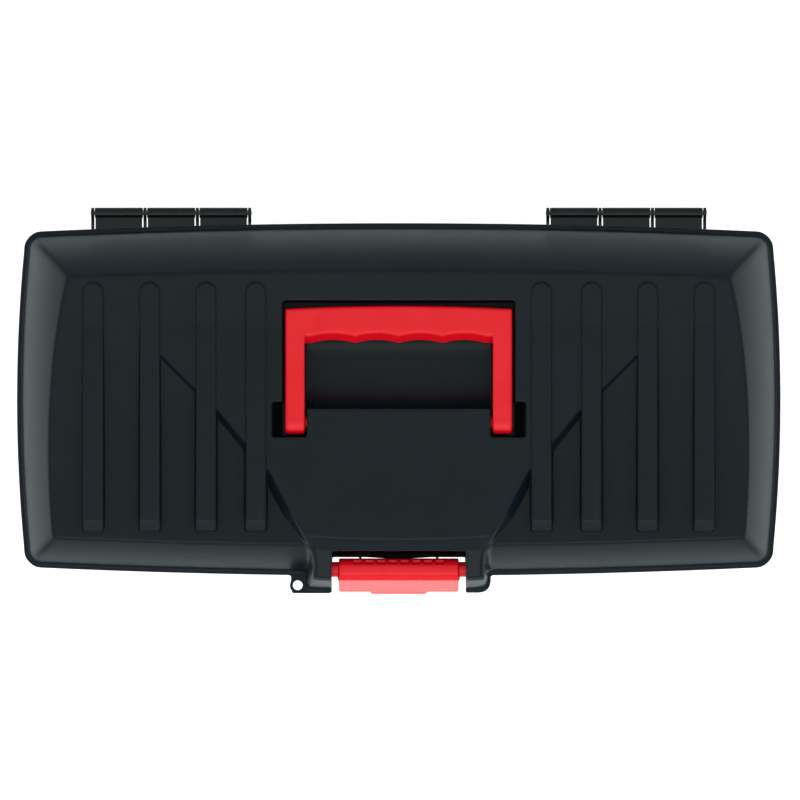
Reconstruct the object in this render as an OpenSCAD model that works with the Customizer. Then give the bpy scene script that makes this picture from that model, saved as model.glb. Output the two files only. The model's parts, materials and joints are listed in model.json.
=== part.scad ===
// Hinged toolbox with a domed lid, a carry handle, a front latch and a lift-out tray.
// Origin: centre of the base. X runs along the box, +Y to the hinges, +Z up. Millimetres.

/* [Box] */
// Length over the flanges at mid depth
box_l = 458; // [430:1:500]
// Depth over the flanges at mid length, without hinges and latch
box_d = 212; // [200:1:240]
// Height of the face where the lid meets the tub
parting_z = 175; // [160:1:200]
// Wall of the tub and the lid
wall = 2.4; // [2:0.1:3.2]
// Thickness of each flange
flange_t = 4.6; // [3.5:0.1:5.5]
// Width of the flange that shows outside the walls
flange_w = 4; // [3.5:0.1:5]
// Radius of the flange corners
corner_r = 12.5; // [10:0.5:16]
// Lean of the tub walls between base and flange
tub_draft = 14; // [8:0.5:18]

/* [Lid] */
// Height of the lid's rear crest over its flange
crest_h = 44.6; // [42:0.2:50]
// Height of the lid's front edge over its flange
front_h = 32.4; // [30:0.2:36]
// Width of a raised rib
rib_w = 11.8; // [9:0.1:14]
// Height of the ribs over the centre panel
rib_proud = 0.8; // [0.5:0.1:2]

/* [Carry handle] */
// Overall width of the handle
handle_w = 137; // [125:1:150]
// Width of each arm
arm_w = 11.7; // [10:0.1:14]
// Depth of the grip bar
grip_d = 22.3; // [20:0.1:26]
// Thickness of the handle
handle_t = 14; // [12:0.5:15]
// Radius of the pivot stubs
handle_pin_r = 4; // [3:0.1:4.5]

/* [Latch] */
// Width of the slot in the lid
slot_w = 80.2; // [74:0.2:90]
// Gap at each side of the latch body
latch_side_gap = 4.3; // [2:0.1:6]
// Radius of the latch barrel
barrel_r = 6.6; // [6:0.1:7]
// Radius of the latch pivot stubs
latch_pin_r = 4.5; // [3.5:0.1:5]

/* [Hinges] */
// Length of one hinge
hinge_l = 96; // [84:1:108]
// Radius of the knuckles
knuckle_r = 3.2; // [3:0.1:3.6]
// Radius of the steel pins
pin_r = 1.5; // [1.2:0.1:1.8]

/* [Tray] */
// Depth of the tray
tray_h = 48; // [36:1:60]
// Wall of the tray and its dividers
tray_wall = 2; // [1.6:0.1:2.6]

/* [Fits] */
// Gap between faces of different bodies
gap = 0.3; // [0.3:0.05:0.5]
// Radial play of a pin in a moving bore
pin_play = 0.05; // [0.03:0.01:0.08]

/* [Hidden] */
$fn = 48;
cut = 1;                                  // overshoot of a cut past a face
sliver = 0.02;                            // thickness of the layers that a hull joins

// Flange outline: bowed sides and round corners
rear_y = box_d/2 + 0.3;
front_y = -box_d/2 + 0.3;
end_bow = 4.2;
long_bow = 4.8;
bow_steps = 8;
corner_steps = 6;

// Heights
base_t = 3;
plinth_h = 3;
plinth_w = 14;
lid_z = parting_z + gap;
lid_flange_z = parting_z + flange_t + 0.4;

// Lid dome: a steep lower band and a flatter upper one, cut by a top that falls to the front
crease_inset = flange_w + 7.2;
crease_z = lid_flange_z + 20;
crown_inset = crease_inset + 22.3;
crown_z = crease_z + 30;
crest_y = rear_y - 30.3;
brow_y = front_y + 19.7;
top_power = 2.2;
top_steps = 12;
panel_rear_y = rear_y - 61.3;
panel_z = lid_flange_z + front_h + (crest_h - front_h)*pow((panel_rear_y - brow_y)/(crest_y - brow_y), top_power);
top_z = panel_z + 20;

// Handle recess, laid out from the handle
handle_rear_y = rear_y - 50;
arm_reach = 69.7;                         // from the grip's rear face to the pivots
pivot_y = handle_rear_y - arm_reach;
pivot_z = panel_z - 1 - handle_t/2;
arm_in = handle_w/2 - arm_w;
recess_floor_z = pivot_z - handle_t/2 - 1.5;
recess_x = handle_w/2 + 1.6;
recess_rear_y = handle_rear_y + 3;
recess_front_y = pivot_y - handle_t/2 - 1.8;
block_x = arm_in - 1.2;
pocket_x = recess_x + 6.3;
pocket_rear_y = pivot_y + 12.2;
scoop_r = 24.5;
scoop_front_y = pivot_y + 8.3;
stub_l = 6;
scallop_r = 47;
scallop_deep = 1.8;

// Ribs: from beside the handle recess to near the lid's ends
rib_inner_x = pocket_x + 9.6;
rib_outer_x = box_l/2 - 46.6;
rib_share = [0, 0.307, 0.652, 1];
rib_rear_y = rear_y - 36.3;
rib_front_y = front_y + 27.4;
rib_ramp_y = rib_front_y + 6.5;
rib_top_z = panel_z + rib_proud;

// Latch housing and padlock tab
slot_x = slot_w/2;
latch_w = slot_w - 2*latch_side_gap;
pillar_x = slot_x + 12.6;
slot_rear_y = front_y + 15.5;
bulge_y = front_y - 9.7;
latch_y = front_y + 4.4;
latch_z = lid_flange_z + 16;
latch_stub_x = slot_x + 6;
panel_front_y = front_y + 23.9;
tab_hole_r = 2.95;
tab_ring_r = 4.7;
tab_x = -pillar_x - 7.8;
tab_y = bulge_y + tab_ring_r - 0.3;

// Latch plate and the catch below it
plate_t = 3;
notch_r = 1.2;
notch_pitch = 7;
plate_low_z = latch_z - 46;
plate_out_y = bulge_y + 0.4;
catch_y = bulge_y + 11.7;
catch_z = plate_low_z + 8;
bay_y = slot_rear_y - 2.3;
bay_low_z = parting_z - 75;

// Hinges
hinge_x = 0.595*box_l/2;
hinge_y = rear_y + 5.8;
hinge_z = parting_z + 2;
ear_t = 2;
ear_gap = 1;
knuckle_l = (hinge_l - 4*ear_t - 6*ear_gap)/3;
ear_pitch = (hinge_l - ear_t)/3;

// Tub walls
tub_inset = flange_w + 3;
tub_wall_z = parting_z - flange_t;
floor_inset = tub_inset + tub_draft;
wall_rib = 1.8;

// Tray on its two end ledges
rim_z = parting_z - 13;                   // low enough that the rim lifts without entering the lid
rim_t = 2.5;
ledge_z = rim_z - rim_t - gap;
ledge_w = 12;
ledge_t = 5;
rim_inset = tub_inset + wall + 1.6;
tray_end_inset = rim_inset + ledge_w + 1;
tray_side_inset = slot_rear_y - front_y + wall + 1.5;
rim_tab_y = rear_y - 36.3;
tray_lean = 4;
tray_floor_z = rim_z - tray_h;
grip_x = 52;
grip_y = 6;
grip_top_z = rim_z + 10;
hand_slot_low_z = rim_z - 17;
slot_span = box_l/2 - tray_end_inset - 12;
slot_share = [0.31, 0.485, 0.66, 0.835];
divider_share = [-0.66, -0.31, 0.31, 0.66];
slot_rib = 1.6;
slot_deep = 3;
slot_play = 0.2;
divider_end_play = 0.4;
divider_top_z = rim_z - 6;

function arc(x, y, r, a0, a1, n) =
  [for (i = [0:n]) let (a = a0 + (a1 - a0)*i/n) [x + r*cos(a), y + r*sin(a)]];

// Share of the bow at a place along a side, from 0 in the middle to 1 at its ends
function bow(t) = pow(2*t - 1, 2);

// The flange outline, moved in by ix at the ends and iy at front and rear
function rim_points(ix, iy) =
  let (x = box_l/2 - ix, xc = x - end_bow - corner_r,
       yr = rear_y - iy, yf = front_y + iy,
       ycr = yr - long_bow - corner_r, ycf = yf + long_bow + corner_r,
       steps = [for (i = [1:bow_steps - 1]) i/bow_steps])
  concat(
    arc(xc, ycf, corner_r, -90, 0, corner_steps),
    [for (t = steps) [x - end_bow*bow(t), ycf + (ycr - ycf)*t]],
    arc(xc, ycr, corner_r, 0, 90, corner_steps),
    [for (t = steps) [xc*(1 - 2*t), yr - long_bow*bow(t)]],
    arc(-xc, ycr, corner_r, 90, 180, corner_steps),
    [for (t = steps) [-x + end_bow*bow(t), ycr + (ycf - ycr)*t]],
    arc(-xc, ycf, corner_r, 180, 270, corner_steps),
    [for (t = steps) [xc*(2*t - 1), yf + long_bow*bow(t)]]);

// Height of the ribbed top at a depth, and of the ribs on it
function ribbed_z(y) =
  let (t = max(0, min(1.15, (y - brow_y)/(crest_y - brow_y))))
  lid_flange_z + front_h + (crest_h - front_h)*pow(t, top_power);
function rib_z(y) = max(rib_top_z, ribbed_z(y) + rib_proud);

// Centre of one of the four ribs on a side
function rib_x(i) = rib_inner_x + (rib_outer_x - rib_inner_x)*rib_share[i];

// Inset of the tub's outer wall at a height
function wall_inset(z) = tub_inset + tub_draft*(tub_wall_z - z)/(tub_wall_z - plinth_h);

// How far the long sides have bowed in at a distance from the middle
function long_bow_at(x) = long_bow*pow(x/(box_l/2 - end_bow - corner_r), 2);

// Depth of the tray's rear inner wall at a height and a place along it
function tray_wall_y(x, z) =
  rear_y - tray_side_inset - tray_wall - tray_lean*(rim_z - z)/tray_h
  - long_bow*pow(x/(box_l/2 - tray_end_inset - tray_lean - end_bow - corner_r), 2);

// Outline of the raised centre panel, which narrows to the latch housing
function panel_points(m) =
  let (side = [[0.36*box_l, panel_rear_y + 4], [0.24*box_l, -6], [0.175*box_l, front_y + 63],
               [pillar_x + 8, panel_front_y], [pillar_x, latch_y], [pillar_x, bulge_y + 1.5]])
  concat([for (p = side) [p[0] - m, p[1]]],
         [for (i = [len(side) - 1:-1:0]) [m - side[i][0], side[i][1]]]);

// A slab with the flange outline
module slab(ix, iy, z, h) translate([0, 0, z]) linear_extrude(h) polygon(rim_points(ix, iy));

// A band that closes in from one inset to another
module band(low, z0, high, z1) {
  hull() {
    slab(low, low, z0, sliver);
    slab(high, high, z1 - sliver, sliver);
  }
}

// An outline of depth and height, extruded along X about the middle
module along_x(w, x = 0) translate([x - w/2, 0, 0]) rotate([90, 0, 90]) linear_extrude(w) children();

module rod_x(r, x0, x1, y, z) translate([x0, y, z]) rotate([0, 90, 0]) cylinder(r = r, h = x1 - x0);

module block(x0, x1, y0, y1, z0, z1) translate([x0, y0, z0]) cube([x1 - x0, y1 - y0, z1 - z0]);

module both_sides() {
  children();
  mirror([1, 0, 0]) children();
}

// Flange with the bulge under the latch and the padlock tab on its left
module flange(z, h) {
  r = 8;
  difference() {
    union() {
      slab(0, 0, z, h);
      translate([0, 0, z]) linear_extrude(h) {
        polygon(concat([[pillar_x, slot_rear_y], [-pillar_x, slot_rear_y]],
                       arc(-pillar_x + r, bulge_y + r, r, 180, 270, corner_steps),
                       arc(pillar_x - r, bulge_y + r, r, 270, 360, corner_steps)));
        polygon([[tab_x - 5.5, front_y + 8], [tab_x - tab_ring_r, tab_y], [tab_x, tab_y - tab_ring_r],
                 [-slot_x, tab_y - tab_ring_r], [-slot_x, front_y + 8]]);
      }
      translate([tab_x, tab_y, z]) cylinder(r = tab_ring_r, h = h);
    }
    translate([tab_x, tab_y, z - cut]) cylinder(r = tab_hole_r, h = h + 2*cut);
    block(-slot_x, slot_x, bulge_y - 10, slot_rear_y, z - cut, z + h + cut);
  }
}

// Everything under the ribbed top, lowered by the skin
module under_top(skin) {
  rise = [for (i = [top_steps:-1:0]) brow_y + (crest_y + 6 - brow_y)*i/top_steps];
  along_x(box_l)
    polygon(concat([[-box_d, 0], [box_d, 0], [box_d, ribbed_z(crest_y + 6) - skin]],
                   [for (y = rise) [y, ribbed_z(y) - skin]], [[-box_d, ribbed_z(brow_y) - skin]]));
}

module centre_panel(skin) {
  z = panel_z - skin;
  low_z = lid_z - skin;
  intersection() {
    linear_extrude(top_z) polygon(panel_points(skin*1.3));
    along_x(box_l)
      polygon([[panel_rear_y + 4, low_z], [panel_rear_y + 4, z], [panel_front_y + skin, z],
               [panel_front_y - 6, z - 7], [latch_y - 3.5, z - 14],
               [bulge_y + 2 + skin, lid_flange_z - 2], [bulge_y + 2 + skin, low_z]]);
  }
}

module rib(i, skin) {
  rise = [for (t = [0:4]) rib_rear_y - skin - t*8];
  along_x(rib_w - 2*skin, rib_x(i))
    polygon(concat([[rib_rear_y - skin, lid_flange_z]], [for (y = rise) [y, rib_z(y) - skin]],
                   [[rib_ramp_y, rib_top_z - skin], [rib_front_y + skin, rib_top_z - skin - 3.5],
                    [rib_front_y + skin, lid_flange_z]]));
}

// Dome, centre panel and ribs; a skin above 0 gives the hollow inside
module dome(skin) {
  intersection() {
    union() {
      band(flange_w + skin, lid_flange_z - sliver, crease_inset + 1.2*skin, crease_z);
      band(crease_inset + 1.2*skin, crease_z - sliver, crown_inset + 1.2*skin, crown_z);
    }
    under_top(skin);
  }
  centre_panel(skin);
  both_sides() for (i = [0:3]) rib(i, skin);
}

// Troughs that back the handle recess, and the housing round the latch slot
module lid_liners() {
  floor_z = recess_floor_z - wall;
  scoop_z = panel_z - scoop_r - wall;
  both_sides() {
    block(block_x - stub_l, recess_x + wall, recess_front_y - wall, recess_rear_y + wall, floor_z, top_z);
    block(0, recess_x + wall, handle_rear_y - grip_d - 3, recess_rear_y + wall, floor_z, top_z);
    block(recess_x, pocket_x + wall, recess_front_y - wall, pocket_rear_y + wall, floor_z, top_z);
    block(0, block_x + wall, scoop_front_y - wall, scoop_front_y + 2*scoop_r, scoop_z, top_z);
    block(0, pillar_x, bulge_y - cut, slot_rear_y + wall, lid_z, top_z);
  }
}

// The recess that the handle folds into, with a finger scoop between the arms
module handle_recess() {
  both_sides() {
    block(block_x, recess_x, recess_front_y, recess_rear_y, recess_floor_z, top_z);
    block(-cut, recess_x, handle_rear_y - grip_d - 3, recess_rear_y, recess_floor_z, top_z);
    block(recess_x - cut, pocket_x, recess_front_y, pocket_rear_y, recess_floor_z, top_z);
  }
  difference() {
    rod_x(scoop_r, -block_x - cut, block_x + cut, scoop_front_y + scoop_r, panel_z);
    block(-box_l, box_l, scoop_front_y, box_d, panel_z, panel_z + 2*scoop_r);
  }
  block(-block_x - cut, block_x + cut, scoop_front_y, recess_rear_y, panel_z - cut, top_z);
}

// Three lid knuckles of one hinge with the webs that carry them
module knuckles(x) {
  for (i = [-1:1]) {
    x0 = x + i*ear_pitch - knuckle_l/2;
    rod_x(knuckle_r, x0, x0 + knuckle_l, hinge_y, hinge_z);
    block(x0, x0 + knuckle_l, rear_y - 8, hinge_y, hinge_z, hinge_z + knuckle_r);
  }
}

module lid_shell() {
  difference() {
    union() {
      flange(lid_z, lid_flange_z - lid_z);
      dome(0);
    }
    slab(flange_w + wall, flange_w + wall, lid_z - cut, lid_flange_z - lid_z + cut + sliver);
    dome(wall);
  }
  intersection() {
    union() {
      flange(lid_z, lid_flange_z - lid_z);
      dome(0);
    }
    lid_liners();
  }
}

module lid() {
  color("#23292e") difference() {
    union() {
      lid_shell();
      both_sides() knuckles(hinge_x);
    }
    handle_recess();
    block(-slot_x, slot_x, bulge_y - 10, slot_rear_y, lid_z - cut, top_z);
    rod_x(latch_pin_r + pin_play, -latch_stub_x - gap, latch_stub_x + gap, latch_y, latch_z);
    both_sides() {
      rod_x(handle_pin_r + pin_play, block_x - stub_l + gap, block_x + cut, pivot_y, pivot_z);
      rod_x(pin_r + pin_play, hinge_x - hinge_l, hinge_x + hinge_l, hinge_y, hinge_z);
    }
  }
}

// Grip bar, with a scallop for each finger along its front
module grip_bar(z0) {
  grip_front_y = handle_rear_y - grip_d;
  scallop_w = (2*arm_in - 8)/4;
  difference() {
    block(-handle_w/2, handle_w/2, grip_front_y, handle_rear_y, z0, z0 + handle_t);
    for (i = [-1.5:1.5])
      translate([i*scallop_w, grip_front_y + scallop_deep - scallop_r, z0 - cut])
        cylinder(r = scallop_r, h = handle_t + 2*cut, $fn = 96);
  }
}

// Handle: the grip bar, two arms with round ends and two stubs that face inward
module carry_handle() {
  z0 = pivot_z - handle_t/2;
  color("#dc2832") {
    grip_bar(z0);
    both_sides() {
      block(arm_in, handle_w/2, pivot_y, handle_rear_y, z0, z0 + handle_t);
      rod_x(handle_t/2, arm_in, handle_w/2, pivot_y, pivot_z);
      rod_x(handle_pin_r, block_x - stub_l + 2*gap, arm_in + cut, pivot_y, pivot_z);
    }
  }
}

// Latch: barrel with a row of grip notches, flared plate, finger bump and hook
module latch() {
  x = latch_w/2;
  hook_y = catch_y - gap;
  color("#dc2832") difference() {
    union() {
      rod_x(barrel_r, -x, x, latch_y, latch_z);
      rod_x(latch_pin_r, -latch_stub_x, latch_stub_x, latch_y, latch_z);
      along_x(latch_w)
        polygon([[latch_y - 5.6, latch_z + 3.4], [latch_y - 10.4, latch_z - 18],
                 [plate_out_y, plate_low_z + 12], [plate_out_y, plate_low_z],
                 [plate_out_y + plate_t, plate_low_z], [plate_out_y + plate_t, plate_low_z + 12],
                 [latch_y - 10.4 + plate_t, latch_z - 18], [latch_y - 2, latch_z - 5.5]]);
      along_x(33.6)
        polygon([[plate_out_y + cut, plate_low_z], [plate_out_y - 1.4, plate_low_z + 2],
                 [plate_out_y - 1.4, plate_low_z + 8], [plate_out_y + cut, plate_low_z + 14]]);
      along_x(latch_w - 20)
        polygon([[plate_out_y + plate_t - cut, plate_low_z + 1], [hook_y, plate_low_z + 4],
                 [hook_y, plate_low_z + 6.5], [plate_out_y + plate_t - cut, plate_low_z + 9]]);
    }
    for (i = [-3.5:3.5])
      rod_x(notch_r, (i - 0.36)*notch_pitch, (i + 0.36)*notch_pitch, latch_y + barrel_r - 0.2, latch_z + 2.4);
  }
}

// Four ears of one hinge, which hold the pin
module ears(x) {
  for (i = [-1.5:1.5])
    along_x(ear_t, x + i*ear_pitch) {
      translate([hinge_y, hinge_z]) circle(r = knuckle_r);
      polygon([[rear_y - 9, tub_wall_z], [hinge_y, hinge_z - knuckle_r], [hinge_y - knuckle_r, hinge_z],
               [hinge_y - 5.2, parting_z - gap], [rear_y - 9, parting_z - gap]]);
    }
}

// Upright stiffening ribs on the tub's long walls, under the lid's ribs
module wall_ribs() {
  low_z = plinth_h + 9;
  for (i = [0:3]) {
    b = long_bow_at(rib_x(i));
    rear_low = rear_y - b - wall_inset(low_z);
    rear_high = rear_y - b - tub_inset;
    front_low = front_y + b + wall_inset(low_z);
    front_high = front_y + b + tub_inset;
    along_x(rib_w, rib_x(i)) {
      polygon([[rear_low - 2, low_z], [rear_low + wall_rib, low_z + 3],
               [rear_high + wall_rib, tub_wall_z + cut], [rear_high - 2, tub_wall_z + cut]]);
      polygon([[front_low + 2, low_z], [front_low - wall_rib, low_z + 3],
               [front_high - wall_rib, tub_wall_z + cut], [front_high + 2, tub_wall_z + cut]]);
    }
  }
}

// Ledge on an end wall that the tray's rim sits on
module tray_ledge() {
  x = box_l/2 - tray_end_inset + 1;
  y = rear_y - 40;
  intersection() {
    block(x, box_l/2, -y, y, ledge_z - ledge_t, ledge_z);
    slab(tub_inset + wall/2, tub_inset + wall/2, ledge_z - ledge_t, ledge_t);
  }
}

module tub() {
  color("#1f2428") difference() {
    union() {
      difference() {
        union() {
          slab(floor_inset + 3, floor_inset + 3, 0, plinth_h + cut);
          band(floor_inset, plinth_h, tub_inset, tub_wall_z);
          slab(tub_inset, tub_inset, tub_wall_z - sliver, flange_t);
          both_sides() wall_ribs();
        }
        slab(floor_inset + 3 + plinth_w, floor_inset + 3 + plinth_w, -cut, plinth_h + cut);
        band(floor_inset + wall, plinth_h + base_t, tub_inset + wall, tub_wall_z);
        slab(tub_inset + wall, tub_inset + wall, tub_wall_z - 2*sliver, flange_t + cut);
        block(-slot_x, slot_x, bulge_y, bay_y, bay_low_z, parting_z + cut);
      }
      difference() {
        flange(tub_wall_z, flange_t);
        slab(tub_inset + wall, tub_inset + wall, tub_wall_z - cut, flange_t + 2*cut);
      }
      tub_bay();
      both_sides() {
        ears(hinge_x);
        tray_ledge();
      }
    }
    both_sides() rod_x(pin_r + 0.02, hinge_x - hinge_l, hinge_x + hinge_l, hinge_y, hinge_z);
  }
}

// Flat bay behind the latch, with the catch that the hook passes under
module tub_bay() {
  x = slot_x + wall;
  difference() {
    block(-x, x, bay_y - 6, bay_y + wall, bay_low_z - wall, parting_z);
    block(-slot_x, slot_x, bay_y - 7, bay_y, bay_low_z - 2*wall, parting_z + cut);
  }
  along_x(latch_w - 24)
    polygon([[bay_y + cut, catch_z - 2], [catch_y, catch_z + 1], [catch_y, catch_z + 4],
             [bay_y + cut, catch_z + 9]]);
}

module hinge_pin(x) color("#8d9296") rod_x(pin_r, x - hinge_l/2 - 0.3, x + hinge_l/2 + 0.3, hinge_y, hinge_z);

// Outer or inner shape of the tray body
module tray_body(skin) {
  hull() {
    slab(tray_end_inset + skin, tray_side_inset + skin, rim_z + (skin > 0 ? cut : 0) - sliver, sliver);
    slab(tray_end_inset + tray_lean + skin, tray_side_inset + tray_lean + skin,
         tray_floor_z + skin, sliver);
  }
}

// Pairs of low ribs that hold a divider upright
module divider_slots() {
  front = tray_wall/2 + slot_deep;
  z0 = tray_floor_z + 1;
  for (share = slot_share) for (side = [-1, 1]) {
    x = share*slot_span + side*(tray_wall/2 + slot_play + slot_rib/2);
    along_x(slot_rib, x) {
      polygon([[0, z0], [front, z0], [front, divider_top_z], [0, divider_top_z]]);
      polygon([[tray_wall_y(x, z0) - slot_deep, z0], [tray_wall_y(x, z0) + 1, z0],
               [tray_wall_y(x, divider_top_z) + 1, divider_top_z],
               [tray_wall_y(x, divider_top_z) - slot_deep, divider_top_z]]);
    }
  }
}

module tray() {
  mid = tray_wall/2;
  color("#262b30") difference() {
    union() {
      difference() {
        union() {
          tray_body(0);
          intersection() {
            slab(rim_inset, tray_side_inset, rim_z - rim_t, rim_t);
            both_sides() block(box_l/2 - tray_end_inset - 8, box_l/2, -rim_tab_y, rim_tab_y, 0, rim_z);
          }
        }
        tray_body(tray_wall);
      }
      intersection() {
        tray_body(0.5);
        union() {
          block(-box_l/2, box_l/2, -mid, mid, tray_floor_z, rim_z);
          both_sides() divider_slots();
        }
      }
      block(-grip_x, grip_x, -mid, mid, rim_z - cut, grip_top_z - 3);
      block(-grip_x, grip_x, -grip_y, grip_y, grip_top_z - 8, grip_top_z);
    }
    block(-grip_x + 9, grip_x - 9, -mid - cut, mid + cut, hand_slot_low_z, grip_top_z - 8);
  }
}

module divider(share) {
  x = share*slot_span;
  z0 = tray_floor_z + tray_wall + sliver;
  y0 = tray_wall/2 + divider_end_play;
  wide = abs(x) + tray_wall/2;
  color("#262b30") along_x(tray_wall, x)
    polygon([[y0, z0], [tray_wall_y(wide, z0) - divider_end_play, z0],
             [tray_wall_y(wide, divider_top_z) - divider_end_play, divider_top_z],
             [y0, divider_top_z]]);
}

tub();
hinge_pin(-hinge_x);  // hinge_pin_left
hinge_pin(hinge_x);  // hinge_pin_right
lid();
carry_handle();
latch();
tray();
divider(divider_share[0]);  // tray_divider_1
divider(divider_share[1]);  // tray_divider_2
divider(divider_share[2]);  // tray_divider_3
divider(divider_share[3]);  // tray_divider_4
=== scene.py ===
"""Looks of a moulded toolbox: lid, tub, handle, latch, hinges and lift-out tray round the fixed frame."""
import json
import math

import bmesh
import bpy
import numpy as np
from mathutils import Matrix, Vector


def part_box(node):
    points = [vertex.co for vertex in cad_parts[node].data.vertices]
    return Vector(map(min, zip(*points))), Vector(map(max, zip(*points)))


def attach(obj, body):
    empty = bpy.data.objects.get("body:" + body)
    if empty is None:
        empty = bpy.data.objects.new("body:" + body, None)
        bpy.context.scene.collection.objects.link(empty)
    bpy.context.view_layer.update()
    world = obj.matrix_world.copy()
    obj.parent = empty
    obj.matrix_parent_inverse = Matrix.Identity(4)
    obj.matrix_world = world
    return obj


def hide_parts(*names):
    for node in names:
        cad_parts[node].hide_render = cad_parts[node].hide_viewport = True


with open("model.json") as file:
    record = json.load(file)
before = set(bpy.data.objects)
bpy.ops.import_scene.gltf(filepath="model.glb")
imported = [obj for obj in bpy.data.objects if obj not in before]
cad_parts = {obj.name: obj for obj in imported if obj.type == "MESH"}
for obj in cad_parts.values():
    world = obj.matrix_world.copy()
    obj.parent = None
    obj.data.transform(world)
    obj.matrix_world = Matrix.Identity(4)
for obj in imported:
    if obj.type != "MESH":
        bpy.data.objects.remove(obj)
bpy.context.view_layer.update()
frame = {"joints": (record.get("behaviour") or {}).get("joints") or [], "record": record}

MM = 0.001

# ---------------------------------------------------------------- sizes, in millimetres


def node_box(node):
    """Lowest and highest corner of a frame node, in millimetres."""
    low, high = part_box(node)
    return np.array(low) / MM, np.array(high) / MM


def joint_place(name):
    """A point on a joint's axis, in millimetres."""
    joint = next(j for j in frame["joints"] if j["name"] == name)
    return np.array(joint["pos_m"]) / MM


def mount(name):
    """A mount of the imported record."""
    return next(m for m in frame["record"]["mounts"] if m["name"] == name)


LID_LOW, LID_HIGH = node_box("lid")
TUB_LOW, TUB_HIGH = node_box("tub")
HANDLE_LOW, HANDLE_HIGH = node_box("carry_handle")
LATCH_LOW, LATCH_HIGH = node_box("latch")
TRAY_LOW, TRAY_HIGH = node_box("tray")
PIN_LOW, PIN_HIGH = node_box("hinge_pin_right")
HINGE = joint_place("lid_hinge")
PIVOT = joint_place("handle_swing")
LATCH = joint_place("latch_swing")
TAB = np.array(mount("padlock_hole")["pos_m"]) / MM
TAB_HOLE_R = mount("padlock_hole")["dims"]["r_mm"]
TAB_R = 4.7               # outer radius of the padlock tab

# Flange outline, shared by lid and tub
WALL = 2.4
HALF_L = LID_HIGH[0]
REAR_Y = HINGE[1] - 5.8
FRONT_Y = LATCH[1] - 4.4
MID_Y = (REAR_Y + FRONT_Y) / 2
HALF_D = (REAR_Y - FRONT_Y) / 2
END_BOW = 4.2
LONG_BOW = 4.8
CORNER = 12.5
INNER_CORNER = 5.0
FLANGE_W = 2.3            # flat rim outside the lid's sides
SKIN_INSET = 2.2          # and outside the housing of the latch
LID_Z = LID_LOW[2]
FLANGE_Z = LID_Z + 4.7
PARTING_Z = LID_Z - 0.3

# Lid dome and its top, which falls from the rear crest to the front brow
CREST_H = 44.6
BROW_H = 32.4
CREST_Y = REAR_Y - 30.3
BROW_Y = FRONT_Y + 19.7
TOP_POWER = 2.2
FOOT_LEAN = 0.375         # how far the sides lean in for each millimetre up
EARLY_CURL = 3.4e-3       # and how they curl in, gently over their height
LATE_CURL = 9.6e-12       # and strongly near the top

# Level centre panel, running out into the latch housing
PANEL_Y = 45.0
PANEL_FRONT_Y = FRONT_Y + 23.9
PANEL_FRONT_X = 54.0
PANEL_BOW = 1.6           # its front edge bows forward by this much in the middle
SLOT_X = 40.1
SLOT_REAR_Y = FRONT_Y + 15.5
BULGE_X = SLOT_X + 15.0
BULGE_Y = FRONT_Y - 9.7
BULGE_CORNER = 8.0

# Ribs
RIB_W = 11.8
RIB_SHARE = (0.0, 0.307, 0.652, 1.0)      # where each stands between the innermost and the outermost
RIB_REAR_Y = 70.0
RIB_FRONT_Y = FRONT_Y + 27.4
RIB_RISE = 1.3            # how far a rib stands above the top
RIB_RAMP_L = 6.5          # its front end ramps down over this length
RIB_RAMP_H = 3.5

# Carry handle and its recess
HANDLE_X = HANDLE_HIGH[0] - 0.7
HANDLE_T = HANDLE_HIGH[2] - HANDLE_LOW[2]
ARM_W = 11.7
ARM_IN = HANDLE_X - ARM_W
GRIP_D = 22.3
GRIP_BOW = 1.8            # its rear edge bows back by this much in the middle
SCALLOP_R = 47.0
SCALLOP_D = 1.8
SCALLOP_PITCH = (2 * ARM_IN - 8) / 4
HANDLE_REAR_Y = HANDLE_HIGH[1]
RECESS_X = HANDLE_X + 1.6
RECESS_REAR_Y = HANDLE_REAR_Y + 3.0
RECESS_FRONT_Y = PIVOT[1] - HANDLE_T / 2 - 1.8
RECESS_Z = PIVOT[2] - HANDLE_T / 2 - 1.5
BLOCK_X = ARM_IN - 1.2
POCKET_X = RECESS_X + 6.3
POCKET_REAR_Y = PIVOT[1] + 12.2
POCKET_FALL = 0.8         # the pocket's floor falls this much for each millimetre outwards
RIB_INNER_X = POCKET_X + 9.6      # where the innermost rib stands, and the outermost
RIB_OUTER_X = HALF_L - 46.6
SCOOP_R = 24.5
SCOOP_FRONT_Y = -5.1
SCOOP_POWER = 2.7         # squarer than a circle, so its floor is flatter
LIP_D = 5.9               # the chamfer starts this far behind the finger side
LIP_W = 1.9
LIP_TILT = math.radians(22)       # and slopes down this much
FRONT_TILT = math.radians(60)     # before the steeper finger side
STUB_L = 6.0
HANDLE_PIN_R = 4.0
PIN_PLAY = 0.05           # room round every pin in its bore
STUB_SLACK = 0.3          # keeps the stub's facets clear of the bore's as it turns

# Latch
BARREL_R = 6.6
LATCH_X = 35.8
LATCH_PIN_R = 4.5
LATCH_BORE_L = 6.3
PLATE_T = 3.0
PLATE_LOW_Z = LATCH_LOW[2]
PLATE_OUT_Y = BULGE_Y + 0.4
PLATE_LINE = [(PLATE_LOW_Z, PLATE_OUT_Y), (PLATE_LOW_Z + 12, PLATE_OUT_Y), (LATCH[2] - 18, LATCH[1] - 10.4),
              (LATCH[2] + 3, LATCH[1] - 5.6)]      # height and depth of its outer side
BUMP_X = 16.8
HOOK_X = LATCH_X - 10
NOTCH_PITCH = 7.0
NOTCH_PLACE = 0.74 * BARREL_R     # behind and above the barrel's axis
NOTCH_R = 1.7

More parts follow.
